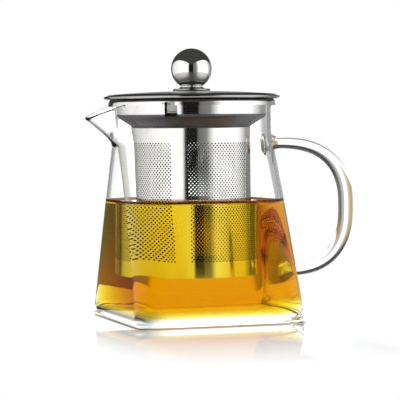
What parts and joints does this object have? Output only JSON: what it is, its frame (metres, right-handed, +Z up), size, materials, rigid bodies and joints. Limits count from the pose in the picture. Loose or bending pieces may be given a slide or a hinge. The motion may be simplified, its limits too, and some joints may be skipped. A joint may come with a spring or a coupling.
{
  "type": "glass teapot",
  "caption": "Clear glass teapot with a square base, round neck, pulled spout and rod handle, a lift-out perforated steel infuser and a domed steel lid with a ball knob.",
  "frame": {"origin": "centre of the flat base underside, on the axis of the neck", "axes": "+Z up along the neck axis, -X towards the spout, +X towards the handle"},
  "size_m": [0.1363, 0.0864, 0.1332],
  "materials": {
    "clear_glass": "fire-polished clear borosilicate glass",
    "satin_steel": "spun stainless steel sheet, fine satin",
    "polished_steel": "mirror-polished stainless steel",
    "tea": "clear amber liquid, shown in the visual model only"
  },
  "bodies": {
    "pot": {"glass_body": "clear_glass", "glass_handle": "clear_glass"},
    "infuser": {"infuser_collar": "satin_steel", "infuser_screen": "satin_steel", "infuser_base": "satin_steel"},
    "lid": {"lid_disc": "polished_steel", "lid_plug_ring": "polished_steel", "knob_neck": "polished_steel", "knob_ball": "polished_steel", "knob_washer": "satin_steel", "knob_screw": "satin_steel"}
  },
  "joints": [
    {"name": "infuser_lift", "type": "slide", "parent": "pot", "child": "infuser", "axis": [0, 0, 1], "range_m": [0, 0.1]},
    {"name": "lid_lift", "type": "slide", "parent": "infuser", "child": "lid", "axis": [0, 0, 1], "range_m": [0, 0.04]}
  ]
}
